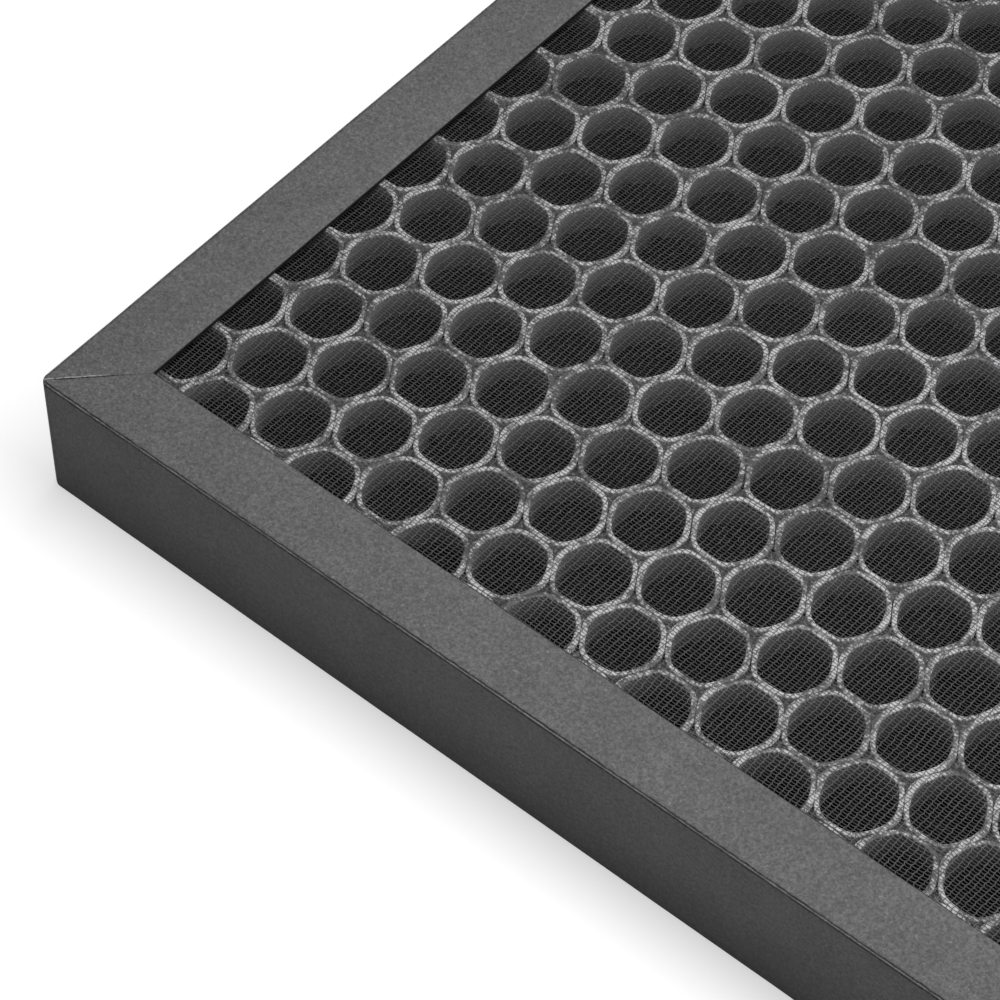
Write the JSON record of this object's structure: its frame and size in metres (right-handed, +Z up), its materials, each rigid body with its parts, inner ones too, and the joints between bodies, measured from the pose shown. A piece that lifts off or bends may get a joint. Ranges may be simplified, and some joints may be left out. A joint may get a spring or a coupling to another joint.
{
  "type": "air purifier filter",
  "caption": "Flat filter panel: folded paperboard channel frame with mitred flanges round a honeycomb core that holds carbon granules between two nets.",
  "frame": {"origin": "middle of the panel's underside, on the surface that the panel lies on", "axes": "+X along the front edge, +Y from the front edge to the back along the longer side, +Z up through the panel's thickness"},
  "size_m": [0.15, 0.165, 0.02],
  "materials": {
    "board": "matte",
    "core": "matte",
    "granules": "matte",
    "net": "satin"
  },
  "bodies": {
    "root": {"paperboard_frame": "board", "honeycomb_core": "core", "carbon_granules": "granules", "lower_net": "net", "upper_net": "net"}
  },
  "joints": []
}
